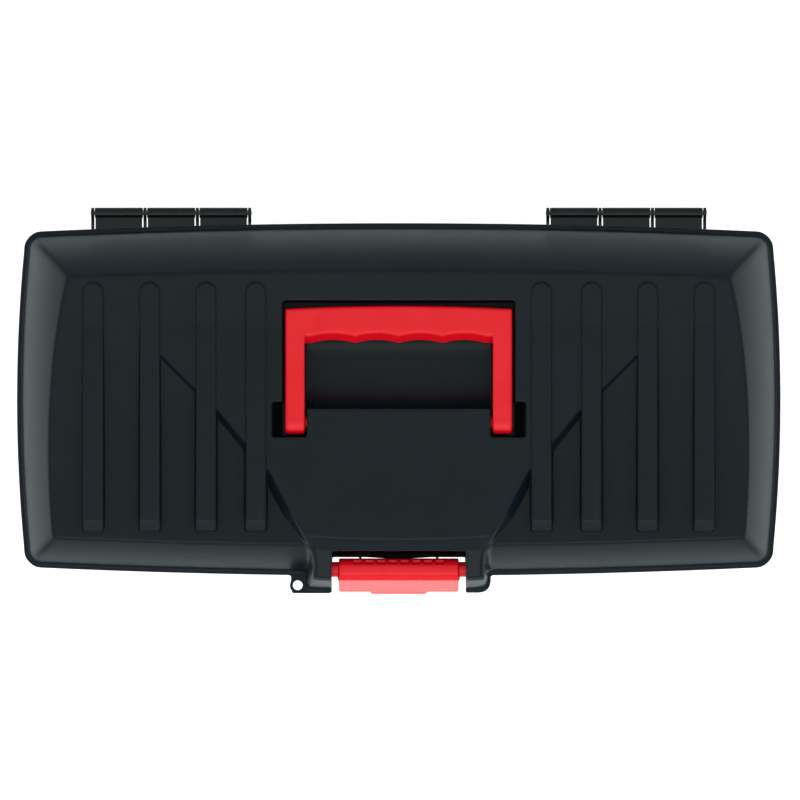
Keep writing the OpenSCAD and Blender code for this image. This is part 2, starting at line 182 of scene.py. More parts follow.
# Hinges
KNUCKLE_R = 3.2           # rounding of the lid's barrels and of the tub's ears
PIN_R = 1.5
PIN_CHAMFER = 0.4
HINGE_L = PIN_HIGH[0] - PIN_LOW[0] - 0.6
HINGE_X = (PIN_HIGH[0] + PIN_LOW[0]) / 2
EAR_T = 2.0
EAR_GAP = 1.0
EAR_PITCH = (HINGE_L - EAR_T) / 3
KNUCKLE_L = (HINGE_L - 4 * EAR_T - 6 * EAR_GAP) / 3
WEB_REACH = 0.35          # how far a web runs past its barrel's drawn length
KNUCKLE_REACH = EAR_GAP - 0.25      # the barrels run closer to the ears than their webs do

# Tub
TUB_WALL_Z = PARTING_Z - 4.6
TUB_INSET = 7.0
TUB_DRAFT = 14.0
PLINTH_H = 3.0
PLINTH_W = 14.0
PLINTH_INSET = TUB_INSET + TUB_DRAFT + 3.0
TUB_RIB_RISE = 1.8
TUB_RIB_LOW_Z = PLINTH_H + 9.0
TUB_RIB_NEAR_Y = 20.0     # the ribs are on the front and rear walls only
FLOOR_Z = PLINTH_H + 3.0
BAY_Y = SLOT_REAR_Y - 3.6
BAY_LOW_Z = PARTING_Z - 75.0
CATCH_X = LATCH_X - 12
CATCH_Y = BULGE_Y + 11.7
CATCH_LOW_Z = PLATE_LOW_Z + 6.5
CATCH_H = 5.5
CORE_X = 22.4             # the catch is cored out behind its bar
CORE_BOW = 1.3

# Tray
TRAY_WALL = 2.0
RIM_Z = PARTING_Z - 13.0
RIM_T = 2.5
TRAY_FLOOR_Z = TRAY_LOW[2]
TRAY_LEAN = 4.0
RIM_INSET = TUB_INSET + WALL + 1.6
TRAY_END_INSET = RIM_INSET + 13.0
TRAY_SIDE_INSET = 19.4
LEDGE_Z = RIM_Z - RIM_T - 0.3
LEDGE_Y = 66.0            # half the length of the tub's ledges
LEDGE_T = 5.0
RIM_TAB_Y = 70.0          # and of the tray's rim tabs that rest on them
RIM_TAB_L = 24.0
SLOT_SPAN = HALF_L - TRAY_END_INSET - 12.0
SLOT_SHARE = (0.31, 0.485, 0.66, 0.835)
DIVIDER_TOP_Z = RIM_Z - 6.0
SLOT_RIB_T = 1.6
TRAY_GRIP_X = 52.0
HAND_X = 43.0             # half the width of the hand slot under the grip

# Sampling of the moulded shapes, in millimetres, and how many triangles each keeps
LARGE_STEP = 0.9
TUB_STEP = 1.1
HANDLE_STEP = 0.45
LATCH_STEP = 0.4
LARGE_FACES = 190000
SMALL_FACES = 120000
COARSE = 1.0      # rougher sampling while trying things


def rib_places():
    """Centres of the four ribs on one side."""
    return [RIB_INNER_X + (RIB_OUTER_X - RIB_INNER_X) * share for share in RIB_SHARE]


# ---------------------------------------------------------------- solids as distance fields


def smooth_max(a, b, radius):
    """Intersection of two distance fields with its edge rounded."""
    mix = np.clip(0.5 + 0.5 * (a - b) / radius, 0, 1)
    return b + (a - b) * mix + radius * mix * (1 - mix)


def smooth_min(a, b, radius):
    """Union of two distance fields with a fillet where they meet."""
    return -smooth_max(-a, -b, radius)


def slab(v, low, high):
    """Distance to the space between two parallel planes."""
    return np.abs(v - (low + high) / 2) - (high - low) / 2


def box_2d(u, v, u0, u1, v0, v1, radius):
    """Rectangle with rounded corners."""
    return smooth_max(slab(u, u0, u1), slab(v, v0, v1), radius)


def softened(value, points, spread):
    """A broken line through the points, with its corners softened."""
    keys, values = zip(*sorted(points))
    offsets = np.linspace(-spread, spread, 9)
    return sum(np.interp(value + o, keys, values) for o in offsets) / len(offsets)


def outline(x, y):
    """Distance to the flange outline, a rectangle with bowed sides and round corners."""
    along = np.clip(np.abs(y - MID_Y) / (HALF_D - LONG_BOW - CORNER), 0, 1)
    across = np.clip(np.abs(x) / (HALF_L - END_BOW - CORNER), 0, 1)
    ends = np.abs(x) - HALF_L + END_BOW * along**2
    sides = np.abs(y - MID_Y) - HALF_D + LONG_BOW * across**2
    corner = np.hypot(np.maximum(ends + CORNER, 0), np.maximum(sides + CORNER, 0))
    rounded = corner + np.minimum(np.maximum(ends, sides) + CORNER, 0) - CORNER
    return smooth_max(rounded, smooth_max(ends, sides, INNER_CORNER), 1.5)


def flange_plan(x, y):
    """Flange outline with the bulge under the latch and the padlock tab on its left."""
    bulge = box_2d(x, y, -BULGE_X, BULGE_X, BULGE_Y, 0, BULGE_CORNER)
    from_hole = np.hypot(x - TAB[0], y - TAB[1])
    web = box_2d(x, y, TAB[0] - 4.0, -SLOT_X, TAB[1] - TAB_R, FRONT_Y + 8, 2.0)
    web = np.maximum(web, TAB[0] - TAB_R - x + 0.35 * (TAB[1] - y))
    plan = smooth_min(outline(x, y), np.minimum(bulge, np.minimum(from_hole - TAB_R, web)), 1.5)
    return np.maximum(plan, TAB_HOLE_R - from_hole)


def top_height(y):
    """Height of the ribbed top, and its slope."""
    t = np.clip((y - BROW_Y) / (CREST_Y - BROW_Y), 0.0, 1.15)
    rise = CREST_H - BROW_H
    slope = rise * TOP_POWER * t ** (TOP_POWER - 1) / (CREST_Y - BROW_Y)
    return FLANGE_Z + BROW_H + rise * t**TOP_POWER, slope


PANEL_Z = float(top_height(np.float64(PANEL_Y))[0])
RIB_Z = PANEL_Z + RIB_RISE


def dome(x, y, z):
    """Sides that rise straight from the flange and then curl in, cut by the falling top."""
    up = np.maximum(z - FLANGE_Z, 0)
    lean = FOOT_LEAN * up + EARLY_CURL * up**2 + LATE_CURL * up**7
    slope_out = FOOT_LEAN + 2 * EARLY_CURL * up + 7 * LATE_CURL * up**6
    sine = 1 / np.sqrt(1 + slope_out**2)
    depth = -outline(x, y) - FLANGE_W
    height, slope = top_height(y)
    top = (z - height) / np.sqrt(1 + slope**2)
    return smooth_max((lean - depth) * sine, top, 1.6)


# Half width of the panel at its foot, and its height, from the rear to the front
PANEL_EDGE = [(PANEL_Y + 4, 165), (-6, 108), (-42, 77.5), (PANEL_FRONT_Y + 1.5, 57), (SLOT_REAR_Y, 49.5),
              (BULGE_Y, 49)]
PANEL_FALL = [(0, PANEL_Z), (PANEL_FRONT_Y, PANEL_Z), (SLOT_REAR_Y + 2, PANEL_Z - 6.5),
              (LATCH[1] - 5.5, PANEL_Z - 13), (BULGE_Y + 2, FLANGE_Z - 3), (BULGE_Y - 4, FLANGE_Z - 20)]


def centre_panel(x, y, z):
    """Level panel with leaning sides that narrow to the latch housing."""
    edge = softened(y, PANEL_EDGE, 4.0)
    lean = np.interp(y, [SLOT_REAR_Y - 8, PANEL_FRONT_Y, PANEL_FRONT_Y + 12], [0.17, 0.45, 0.75])
    bowed = y + PANEL_BOW * (1 - np.clip(x / PANEL_FRONT_X, -1, 1) ** 2)
    height = softened(bowed, PANEL_FALL, 1.6)
    slope = np.where(bowed < LATCH[1] - 6, 3.2, np.where(bowed < PANEL_FRONT_Y, 0.6, 0.0))
    top = (z - height) / np.sqrt(1 + slope**2)
    depth = PANEL_Z - np.maximum(z, FLANGE_Z)
    side = (np.abs(x) - edge - lean * depth) / np.sqrt(1.3 + lean**2)      # 1.3 for the narrowing plan
    body = smooth_max(side, top, np.interp(y, [SLOT_REAR_Y, PANEL_FRONT_Y + 12], [3.0, 1.0]))
    return np.maximum(body, y - PANEL_Y - 4)


def rib(x, y, z, place):
    """A rib with a round rear end and a square front end that ramps down."""
    half = RIB_W / 2
    across = np.abs(x - place) - half
    round_end = np.hypot(x - place, np.maximum(y - RIB_REAR_Y + half, 0)) - half
    plan = np.where(y > RIB_REAR_Y - half, round_end, smooth_max(across, RIB_FRONT_Y - y, 2.0))
    ramp = RIB_RAMP_H * np.clip((RIB_FRONT_Y + RIB_RAMP_L - y) / RIB_RAMP_L, 0, 1)
    height = np.maximum(RIB_Z, top_height(y)[0] + RIB_RISE) - ramp
    lean = 0.1 * (height - z)
    return smooth_max(plan - lean, z - height, 0.6)


def lid_top(x, y, z):
    """Outer skin of the lid above its flange."""
    fillet = np.interp(y, [PANEL_FRONT_Y, PANEL_FRONT_Y + 12], [2.5, 0.5])
    solid = smooth_min(dome(x, y, z), centre_panel(x, y, z), fillet)
    for place in rib_places():
        for side in (-1, 1):
            near = np.flatnonzero(np.abs(side * x.ravel() - place) < RIB_W)
            if len(near):
                part = slice(near[0], near[-1] + 1)       # a rib is only worked out near itself
                u, v, w = (a[part] if len(a) == len(x) else a for a in (side * x, y, z))
                solid[part] = smooth_min(solid[part], rib(u, v, w, place), 0.6)
    return solid


def lid_cuts(x, y, z):
    """Handle recess, finger scoop, latch slot and the bores of handle and latch."""
    ax = np.abs(x)
    grip = box_2d(x, y, -RECESS_X, RECESS_X, HANDLE_REAR_Y - GRIP_D - 3, RECESS_REAR_Y, 3.0)
    arm = box_2d(ax, y, BLOCK_X, RECESS_X, RECESS_FRONT_Y, RECESS_REAR_Y, 2.0)
    pocket = box_2d(ax, y, BLOCK_X, POCKET_X, RECESS_FRONT_Y, POCKET_REAR_Y, 2.0)
    plan = np.minimum(grip, np.minimum(arm, pocket))
    floor_z = RECESS_Z - POCKET_FALL * np.maximum(ax - RECESS_X, 0)
    recess = smooth_max(plan, floor_z - z, 1.5)
    u, w = np.abs(y - SCOOP_FRONT_Y - SCOOP_R), np.maximum(PANEL_Z - z, 0)
    scoop = (u**SCOOP_POWER + w**SCOOP_POWER) ** (1 / SCOOP_POWER) - SCOOP_R
    recess = smooth_min(recess, smooth_max(scoop, ax - BLOCK_X - 1, 1.5), 1.0)
    slot = smooth_max(ax - SLOT_X, y - SLOT_REAR_Y, 1.0)
    bore = np.hypot(y - LATCH[1], z - LATCH[2]) - LATCH_PIN_R - PIN_PLAY
    slot = np.minimum(slot, np.maximum(bore, ax - SLOT_X - LATCH_BORE_L))
    bore = np.hypot(y - PIVOT[1], z - PIVOT[2]) - HANDLE_PIN_R - PIN_PLAY
    return recess, np.minimum(slot, np.maximum(bore, slab(ax, BLOCK_X - STUB_L + 0.3, BLOCK_X + 1)))


def lid_field(x, y, z):
    """The whole lid: skin, flange, recess with its backing walls, hollow underneath."""
    plan = flange_plan(x, y)
    skin = smooth_max(lid_top(x, y, z), plan + SKIN_INSET, 2.0)
    recess, slot = lid_cuts(x, y, z)
    hollow = np.maximum(skin + WALL, WALL - np.minimum(recess, slot))
    flange = smooth_max(plan, slab(z, LID_Z, FLANGE_Z), 0.8)
    solid = smooth_min(skin, flange, 1.6)
    solid = smooth_max(solid, -recess, 1.2)
    solid = smooth_max(solid, -slot, 1.0)
    solid = smooth_max(solid, -hollow, 0.8)
    return np.maximum(solid, LID_Z - z)


def wall_inset(z):
    """How far the tub's outer wall stands inside the flange edge."""
    return TUB_INSET + TUB_DRAFT * (TUB_WALL_Z - z) / (TUB_WALL_Z - PLINTH_H)


def tub_field(x, y, z):
    """The tub: leaning walls with upright ribs, plinth, flange, latch bay, catch and ledges."""
    plan = outline(x, y)
    wall = plan + wall_inset(z)
    ribs = np.minimum.reduce([np.abs(np.abs(x) - place) for place in rib_places()]) - RIB_W / 2
    ribs = np.maximum(ribs, np.maximum(TUB_RIB_LOW_Z - z, TUB_RIB_NEAR_Y - np.abs(y - MID_Y)))
    body = smooth_min(wall, smooth_max(ribs, wall - TUB_RIB_RISE, 1.2), 1.5)
    bay_low = BAY_LOW_Z + 4 * np.clip(np.abs(x) / SLOT_X, 0, 1) ** 4
    bay = smooth_max(box_2d(x, z, -SLOT_X, SLOT_X, bay_low, PARTING_Z + 40, 5.0), y - BAY_Y, 1.0)
    body = smooth_max(body, -bay, 1.5)
    body = smooth_max(body, PLINTH_H - z, 4.0)
    foot = smooth_max(plan + PLINTH_INSET, slab(z, 0, PLINTH_H + 4), 1.0)
    body = smooth_min(body, foot, 1.0)
    inside = smooth_max(wall + WALL, FLOOR_Z - z, 4.0)
    inside = np.maximum(inside, WALL - bay)
    flange = smooth_max(flange_plan(x, y), slab(z, TUB_WALL_Z, PARTING_Z), 1.0)
    flange = smooth_max(flange, -np.maximum(np.abs(x) - SLOT_X, y - BAY_Y), 1.0)
    body = smooth_min(body, flange, 1.5)
    body = smooth_max(body, -inside, 1.0)
    under = smooth_max(plan + PLINTH_INSET + PLINTH_W, z - PLINTH_H, 1.0)
    body = smooth_max(body, -under, 1.0)
    catch = smooth_max(np.abs(x) - CATCH_X, CATCH_Y - y, 0.8)
    catch = smooth_max(catch, slab(z, CATCH_LOW_Z, CATCH_LOW_Z + CATCH_H), 0.8)
    core_rear = BAY_Y - CORE_BOW * (1 - np.clip(x / CORE_X, -1, 1) ** 2)
    core = smooth_max(np.abs(x) - CORE_X, slab(y, CATCH_Y + 4, core_rear), 0.8)
    catch = np.maximum(catch, -core)
    body = smooth_min(body, np.maximum(catch, y - BAY_Y - 1), 1.0)
    ledge_x = HALF_L - TRAY_END_INSET + 1
    ledge = smooth_max(ledge_x - np.abs(x), np.abs(y) - LEDGE_Y, 1.5)
    ledge = smooth_max(ledge, slab(z, LEDGE_Z - LEDGE_T, LEDGE_Z), 0.6)
    ledge = np.maximum(ledge, wall + WALL / 2)
    body = smooth_min(body, ledge, 1.0)
    return np.maximum(body, z - PARTING_Z)


def tray_wall(x, y, z, extra):
    """Distance to the tray's leaning side walls."""
    lean = TRAY_LEAN * (RIM_Z - z) / (RIM_Z - TRAY_FLOOR_Z) + extra
    along = np.clip(np.abs(y - MID_Y) / (HALF_D - LONG_BOW - CORNER), 0, 1)
    across = np.clip(np.abs(x) / (HALF_L - TRAY_END_INSET - END_BOW - CORNER), 0, 1)
    ends = np.abs(x) - HALF_L + TRAY_END_INSET + END_BOW * along**2 + lean
    sides = np.abs(y - MID_Y) - HALF_D + TRAY_SIDE_INSET + LONG_BOW * across**2 + lean
    return smooth_max(ends, sides, CORNER)


def tray_field(x, y, z):
    """The tray: pan, rim tabs on the ledges, long middle wall with its grip, divider slots."""
    outer = smooth_max(tray_wall(x, y, z, 0), slab(z, TRAY_FLOOR_Z, RIM_Z), 3.0)
    outer = np.where(z > RIM_Z - 8, np.maximum(tray_wall(x, y, z, 0), z - RIM_Z), outer)
    inner = smooth_max(tray_wall(x, y, z, TRAY_WALL), TRAY_FLOOR_Z + TRAY_WALL - z, 3.0)
    half = TRAY_WALL / 2
    middle = smooth_max(np.abs(y) - half, z - RIM_Z, 0.6)
    pan = smooth_max(outer, -smooth_max(inner, -middle, 1.5), 0.8)
    rim = smooth_max(outline(x, y) + RIM_INSET, np.abs(y) - RIM_TAB_Y, 3.0)
    rim = np.maximum(rim, TRAY_END_INSET - HALF_L - RIM_TAB_L + np.abs(x))
    rim = smooth_max(rim, slab(z, RIM_Z - RIM_T, RIM_Z), 0.6)
    rim = smooth_max(rim, -np.maximum(inner, -middle), 0.6)
    solid = smooth_min(pan, np.maximum(rim, HALF_L - TRAY_END_INSET - 8 - np.abs(x)), 0.8)
    ribs = [np.abs(np.abs(x) - share * SLOT_SPAN - side * (TRAY_WALL / 2 + 1.0))
            for share in SLOT_SHARE for side in (-1, 1)]
    ribs = smooth_max(np.minimum.reduce(ribs) - SLOT_RIB_T / 2, z - DIVIDER_TOP_Z, 0.6)
    at_walls = np.minimum(slab(y, 0, half + 3), -(tray_wall(x, y, z, TRAY_WALL) + 3))
    at_walls = np.maximum(at_walls, -y)
    ribs = np.maximum(np.maximum(ribs, at_walls), np.maximum(inner - 0.5, TRAY_FLOOR_Z - z + 0.5))
    solid = smooth_min(solid, ribs, 0.5)
    top = TRAY_HIGH[2]
    grip = smooth_max(np.abs(y) - 6.0, slab(z, top - 8, top), 3.0)
    grip = smooth_max(grip, np.abs(x) - TRAY_GRIP_X, 3.0)
    post = smooth_max(np.abs(y) - half, np.abs(x) - TRAY_GRIP_X, 1.0)
    grip = smooth_min(grip, np.maximum(post, slab(z, RIM_Z - 4, top - 3)), 1.5)
    solid = smooth_min(solid, grip, 1.5)
    hand = box_2d(x, z, -HAND_X, HAND_X, RIM_Z - 17, top - 8, 6.0)
    return smooth_max(solid, -np.maximum(hand, np.abs(y) - 5), 0.8)


def handle_field(x, y, z):
    """Grip bar with four finger scallops, two arms with round ends, two stubs facing inward."""
    ax = np.abs(x)
    rear = HANDLE_REAR_Y - GRIP_BOW * (ax / HANDLE_X) ** 2
    outer = smooth_max(ax - HANDLE_X, y - rear, 1.2)
    dz = z - PIVOT[2]
    thick = np.where(y < PIVOT[1], np.hypot(y - PIVOT[1], dz), np.abs(dz)) - HANDLE_T / 2
    body = smooth_max(outer, thick, 2.4)
    phase = np.abs(np.mod(x / SCALLOP_PITCH, 1.0) - 0.5) * SCALLOP_PITCH
    scallop = np.sqrt(SCALLOP_R**2 - phase**2) - SCALLOP_R + SCALLOP_D
    scallop = np.where(ax < 2 * SCALLOP_PITCH, np.maximum(scallop, 0), 0)
    window_y = HANDLE_REAR_Y - GRIP_D + scallop
    window = smooth_max(ax - ARM_IN, y - window_y, 1.5)
    body = smooth_max(body, -window, 1.6)
    at_grip = y > PIVOT[1] + 20
    grip_lip = np.where(ax < ARM_IN, window_y + LIP_D - y, -LIP_D)
    arm_lip = PIVOT[1] - HANDLE_T / 2 + LIP_D - y
    lip = np.maximum(np.where(at_grip, grip_lip, arm_lip), -LIP_D)
    drop = LIP_W * math.tan(LIP_TILT)
    chamfer = (dz - HANDLE_T / 2) * math.cos(LIP_TILT) + lip * math.sin(LIP_TILT)
    front = (dz - HANDLE_T / 2 + drop) * math.cos(FRONT_TILT) + (lip - LIP_W) * math.sin(FRONT_TILT)
    front = np.where(at_grip, front, chamfer)
    body = smooth_max(body, smooth_max(chamfer, front, 0.6), 0.4)
    stub = np.hypot(y - PIVOT[1], dz) - HANDLE_PIN_R + STUB_SLACK
    stub = smooth_max(stub, slab(ax, BLOCK_X - STUB_L + 0.6, ARM_IN + 2), 0.6)
    return smooth_min(body, stub, 0.8)


def latch_field(x, y, z):
    """Barrel with grip notches, flared plate with a finger bump, hook behind."""
    ax = np.abs(x)
    around = np.hypot(y - LATCH[1], z - LATCH[2])
    barrel = smooth_max(around - BARREL_R, ax - LATCH_X, 1.0)
    stub = smooth_max(around - LATCH_PIN_R, ax - LATCH_HIGH[0], 0.6)
    centre = np.interp(z, *zip(*PLATE_LINE)) + PLATE_T / 2
    plate = smooth_max((np.abs(y - centre) - PLATE_T / 2) * 0.97, ax - LATCH_X, 1.2)
    plate = smooth_max(plate, slab(z, PLATE_LOW_Z, LATCH[2] + 2.5), 1.5)
    body = smooth_min(smooth_min(barrel, plate, 2.5), stub, 0.6)
    bump = np.hypot(y - PLATE_OUT_Y - 2.2, (z - PLATE_LOW_Z - 5) * 0.6) - 3.6
    bump = smooth_max(ax - BUMP_X, bump, 1.5)
    body = smooth_min(body, np.maximum(bump, PLATE_LOW_Z - z), 1.0)
    hook = smooth_max(ax - HOOK_X, slab(y, PLATE_OUT_Y + 1, CATCH_Y - 0.3), 0.8)
    hook = smooth_max(hook, slab(z, PLATE_LOW_Z + 2.5, PLATE_LOW_Z + 7.5), 1.0)
    body = smooth_min(body, hook, 0.8)
    along = np.abs(np.mod(x / NOTCH_PITCH, 1.0) - 0.5) * NOTCH_PITCH
    notch = np.hypot(y - LATCH[1] - NOTCH_PLACE, z - LATCH[2] - NOTCH_PLACE) - NOTCH_R
    notch = smooth_max(smooth_max(notch, along - 2.5, 0.8), ax - 4 * NOTCH_PITCH, 0.3)
    return smooth_max(body, -notch, 0.6)


# ---------------------------------------------------------------- meshes from fields


def axes(low, high, step):
    """Sample places along X, Y and Z, shaped so that they spread over a block."""
    margin = 2.5 * step
    count = [int(math.ceil((b - a + 2 * margin) / step)) + 1 for a, b in zip(low, high)]
    lines = [(np.arange(n) * step + (a + b) / 2 - (n - 1) * step / 2).astype(np.float32)
             for a, b, n in zip(low, high, count)]
    return lines[0][:, None, None], lines[1][None, :, None], lines[2][None, None, :]


def distance(field, points):
    """The field's value at each point."""
    x, y, z = points.T
    return np.broadcast_to(field(x, y, z), x.shape)


def direction(field, points, reach):
    """Outward direction of the field at each point, smoothed over a small reach."""
    shifts = np.eye(3, dtype=np.float32) * reach
    parts = [distance(field, points + s) - distance(field, points - s) for s in shifts]
    found = np.stack(parts, axis=1)
    return found / np.maximum(np.linalg.norm(found, axis=1, keepdims=True), 1e-9)


def surface(values, origin, step):
    """Corners and four-sided faces of the surface where the field is zero."""
    inside = values < 0
    count = sum(inside[a:a + inside.shape[0] - 1, b:b + inside.shape[1] - 1, c:c + inside.shape[2] - 1]
                .astype(np.int8) for a, b, c in np.ndindex(2, 2, 2))
    cells = np.argwhere((count > 0) & (count < 8))
    number = np.full(count.shape, -1, np.int32)
    number[tuple(cells.T)] = np.arange(len(cells))
    # One corner in each cell that the surface passes, in the middle of where it crosses the cell's edges
    total = np.zeros((len(cells), 3), np.float32)
    crossings = np.zeros((len(cells), 1), np.float32)
    for axis in range(3):
        for corner in np.ndindex(2, 2, 2):
            if corner[axis]:
                continue
            far = np.array(corner)
            far[axis] = 1
            a = values[tuple((cells + corner).T)]
            b = values[tuple((cells + far).T)]
            crosses = ((a < 0) != (b < 0))[:, None]
            share = (a / np.where(a == b, 1, a - b))[:, None]
            total += crosses * (np.array(corner) + share * (far - corner))
            crossings += crosses
    points = origin + (cells + total / crossings) * step
    # One face round each grid line that the surface crosses, between the four cells beside it
    faces = []
    for axis in range(3):
        ahead = [slice(None)] * 3
        behind = [slice(None)] * 3
        ahead[axis], behind[axis] = slice(1, None), slice(None, -1)
        first, second = inside[tuple(behind)], inside[tuple(ahead)]
        edges = np.argwhere(first != second)
        filled = first[tuple(edges.T)]
        u, v = (axis + 1) % 3, (axis + 2) % 3
        ring = []
        for du, dv in ((-1, -1), (0, -1), (0, 0), (-1, 0)):
            shifted = edges.copy()
            shifted[:, u] += du
            shifted[:, v] += dv
            ring.append(number[tuple(shifted.T)])
        quads = np.stack(ring, axis=1)
        quads[~filled] = quads[~filled][:, ::-1]
        faces.append(quads)
    return points, np.concatenate(faces)


def settled(field, points, step):
    """Points moved onto the zero surface along the field's direction."""
    for _ in range(2):
        off = np.clip(distance(field, points), -0.4 * step, 0.4 * step)
        points = points - direction(field, points, 0.3 * step) * off[:, None]
    return points


def field_piece(name, field, low, high, step, faces_kept):
    """Mesh object of a field: sampled, thinned to about faces_kept triangles, given the field's normals."""
    step = step * COARSE
    x, y, z = axes(low, high, step)
    values = np.asarray(field(x, y, z), np.float32)
    values = np.broadcast_to(values, (x.size, y.size, z.size))
    origin = np.array([x.flat[0], y.flat[0], z.flat[0]], np.float32)
    points, quads = surface(values, origin, step)
    points = settled(field, points, step)
    mesh = bpy.data.meshes.new(name)
    mesh.vertices.add(len(points))
    mesh.vertices.foreach_set("co", (points * MM).astype(np.float32).ravel())
    mesh.loops.add(quads.size)
    mesh.loops.foreach_set("vertex_index", quads.astype(np.int32).ravel())
    mesh.polygons.add(len(quads))
    mesh.polygons.foreach_set("loop_start", np.arange(0, quads.size, 4, dtype=np.int32))
    mesh.update()
    piece = bpy.data.objects.new(name, mesh)
    bpy.context.scene.collection.objects.link(piece)
    if 2 * len(quads) > faces_kept:
        thin(piece, faces_kept / (2 * len(quads)))
    found = np.empty(len(piece.data.vertices) * 3, np.float32)
    piece.data.vertices.foreach_get("co", found)
    normals = direction(field, found.reshape(-1, 3) / MM, 0.5 * step)
    piece.data.shade_smooth()
    piece.data.normals_split_custom_set_from_vertices(normals)
    return piece


def thin(piece, share):
    """Merges faces where the surface is flattest."""
    modifier = piece.modifiers.new("thin", "DECIMATE")
    modifier.ratio = share
    evaluated = piece.evaluated_get(bpy.context.evaluated_depsgraph_get())
    thinned = bpy.data.meshes.new_from_object(evaluated)
    old = piece.data
    piece.modifiers.clear()
    piece.data = thinned
    thinned.name = piece.name
    bpy.data.meshes.remove(old)


# ---------------------------------------------------------------- small pieces built face by face


def bmesh_piece(name, build, bevel=0.0):
    """Mesh object from a function that fills a bmesh, with small rounded edges."""
    made = bmesh.new()
    build(made)
    bmesh.ops.recalc_face_normals(made, faces=made.faces)
    mesh = bpy.data.meshes.new(name)
    made.to_mesh(mesh)
    made.free()
    piece = bpy.data.objects.new(name, mesh)
    bpy.context.scene.collection.objects.link(piece)
    mesh.shade_smooth()
    if bevel:
        rounding = piece.modifiers.new("edges", "BEVEL")
        rounding.width = bevel * MM
        rounding.segments = 3
        rounding.limit_method = "ANGLE"
        rounding.angle_limit = math.radians(35)
        rounding.harden_normals = True
    return piece


def ring(made, x, radius, sides):
    """A circle of corners round the hinge axis, square to it."""
    corners = []
    for i in range(sides):
        turn = 2 * math.pi * i / sides
        place = Vector((x, HINGE[1] + radius * math.cos(turn), HINGE[2] + radius * math.sin(turn)))
        corners.append(made.verts.new(place * MM))
    return corners


def bridge(made, loop_a, loop_b):
    """Four-sided faces between two loops with as many corners."""
    for i in range(len(loop_a)):
        j = (i + 1) % len(loop_a)
        made.faces.new((loop_a[i], loop_a[j], loop_b[j], loop_b[i]))


def hinge_pin_rings(x0, x1):
    """Steel pin with turned ends."""
    def build(made):
        steps = [(x0, PIN_R - PIN_CHAMFER), (x0 + PIN_CHAMFER, PIN_R), (x1 - PIN_CHAMFER, PIN_R),
                 (x1, PIN_R - PIN_CHAMFER)]
        loops = [ring(made, x, r, 32) for x, r in steps]
        for a, b in zip(loops, loops[1:]):
            bridge(made, a, b)
        made.faces.new(loops[0])
        made.faces.new(loops[-1])
    return build


def prism(made, profile, x0, x1):
    """Solid between two copies of a closed profile of depth and height."""
    ends = [[made.verts.new(Vector((x, y, z)) * MM) for y, z in profile] for x in (x0, x1)]
    bridge(made, *ends)
    for end in ends:
        made.faces.new(end)


def arc_points(y, z, radius, start, end, count):
    """Points of depth and height along an arc, angles in degrees from +Y towards +Z."""
    angles = np.radians(np.linspace(start, end, count))
    return [(y + radius * math.cos(a), z + radius * math.sin(a)) for a in angles]


def knuckle_build(x):
    """Three rolled knuckles with the webs that join them to the lid's flange."""
    def build(made):
        for i in (-1, 0, 1):
            x0 = x + i * EAR_PITCH - KNUCKLE_L / 2
            ring_tube(made, x0 - KNUCKLE_REACH, x0 + KNUCKLE_L + KNUCKLE_REACH, KNUCKLE_R, PIN_R + PIN_PLAY)
            web_low = HINGE[2] + 0.2
            web = [(REAR_Y - 6.0, web_low), (HINGE[1] - 1.9, web_low), (HINGE[1] - 1.9, HINGE[2] + 1.3),
                   (REAR_Y + 0.4, FLANGE_Z - 0.6), (REAR_Y - 6.0, FLANGE_Z - 0.3)]
            prism(made, web, x0 - WEB_REACH, x0 + KNUCKLE_L + WEB_REACH)
    return build


def ring_tube(made, x0, x1, outer, inner):
    """Hollow cylinder about the hinge axis."""
    loops = [ring(made, x, r, 40) for x, r in ((x0, outer), (x1, outer), (x1, inner), (x0, inner))]
    for a, b in zip(loops, loops[1:] + loops[:1]):
        bridge(made, a, b)


def ear_build(x):
    """Four thin ears that stand up from the tub's flange and hold the pin."""
    def build(made):
        for i in (-1.5, -0.5, 0.5, 1.5):
            middle = x + i * EAR_PITCH
            round_top = arc_points(HINGE[1], HINGE[2], KNUCKLE_R, -60, 170, 24)
            profile = round_top + [(HINGE[1] - 5.2, PARTING_Z - 0.1), (REAR_Y - 9, PARTING_Z - 0.1),
                                   (REAR_Y - 9, TUB_WALL_Z + 0.1), (HINGE[1] - 4, TUB_WALL_Z + 0.1)]
            prism(made, profile, middle - EAR_T / 2, middle + EAR_T / 2)
    return build


def divider_build(node):
    """A loose divider plate with rounded top corners, from its node's box."""
    low, high = node_box(node)

    def build(made):
        foot = high[1] - TRAY_LEAN
        corner = 6.0
        profile = [(low[1], low[2]), (foot, low[2])]
        profile += arc_points(high[1] - corner, high[2] - corner, corner, 5, 90, 8)
        profile += arc_points(low[1] + corner, high[2] - corner, corner, 90, 180, 8)
        prism(made, profile, low[0], high[0])
    return build


# ---------------------------------------------------------------- materials


FLOW_MM = 90.0
PATCH_MM = 14.0
GRAIN_MM = 0.9


def linear(hex_colour):
    """Linear colour from an sRGB hex value."""
    parts = [int(hex_colour[i:i + 2], 16) / 255 for i in (1, 3, 5)]
    return [c / 12.92 if c <= 0.04045 else ((c + 0.055) / 1.055) ** 2.4 for c in parts] + [1.0]


def node(tree, kind, inputs=None, **settings):
    """Adds a node, sets its properties, and sets or links its inputs."""
    made = tree.nodes.new(kind)
    for name, value in settings.items():
        setattr(made, name, value)
    for name, value in (inputs or {}).items():
        if isinstance(value, bpy.types.NodeSocket):
            tree.links.new(value, made.inputs[name])
        else:
            made.inputs[name].default_value = value
    return made


